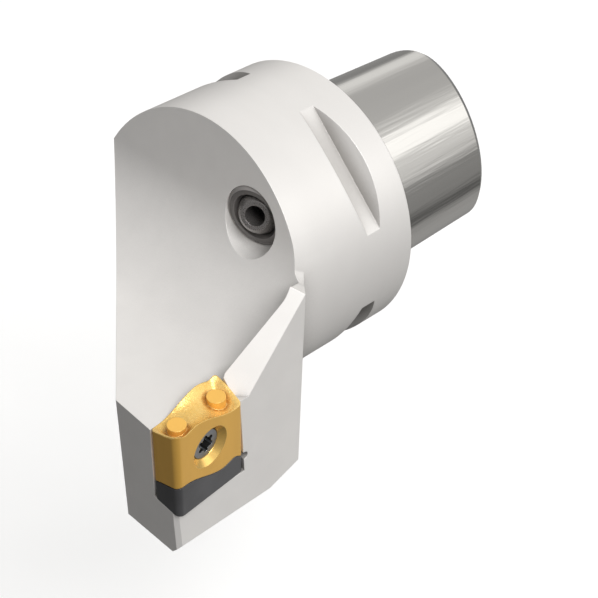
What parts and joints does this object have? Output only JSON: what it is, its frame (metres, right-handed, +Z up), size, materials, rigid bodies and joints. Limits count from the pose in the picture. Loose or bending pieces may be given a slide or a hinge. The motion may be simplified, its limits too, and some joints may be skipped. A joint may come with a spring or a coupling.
{
  "type": "turning tool holder",
  "caption": "Right-hand turning head with a polygon taper shank, a gullet, a tangential screw-clamped insert on a shim and an aimed coolant nozzle.",
  "frame": {"origin": "centre of the flange's rear gauge face, on the shank axis", "axes": "+Y back along the shank, +X towards the cutting side, +Z up with the cutting tip at z = 0"},
  "size_m": [0.0469, 0.0739, 0.0429],
  "materials": {
    "satin_steel": "satin",
    "coated_carbide": "satin gold coating",
    "screw_steel": "satin",
    "dark_carbide": "matte",
    "dark_steel": "satin black oxide",
    "seal_rubber": "matte"
  },
  "bodies": {
    "holder": {"tool_body": "satin_steel", "cutting_insert": "coated_carbide", "shim": "dark_carbide", "shim_screw": "screw_steel"},
    "clamp_screw": {"insert_screw": "screw_steel"},
    "nozzle_housing": {"nozzle_ring": "dark_steel", "nozzle_seal": "seal_rubber"},
    "jet_ball": {"nozzle_ball": "dark_steel"}
  },
  "joints": [
    {"name": "clamp_screw_turn", "type": "hinge", "parent": "holder", "child": "clamp_screw", "pos_m": [0.02616, -0.04362, -0.0054], "axis": [0.9949, 0.087, -0.0515], "continuous": true},
    {"name": "nozzle_turn", "type": "hinge", "parent": "holder", "child": "nozzle_housing", "pos_m": [0.00965, -0.0205, 0.00955], "axis": [0.173, -0.9811, -0.0872], "continuous": true},
    {"name": "nozzle_tilt", "type": "hinge", "parent": "nozzle_housing", "child": "jet_ball", "pos_m": [0.00939, -0.01903, 0.00968], "axis": [-0.7941, -0.1913, 0.5769], "range_deg": [-53, 7]}
  ]
}
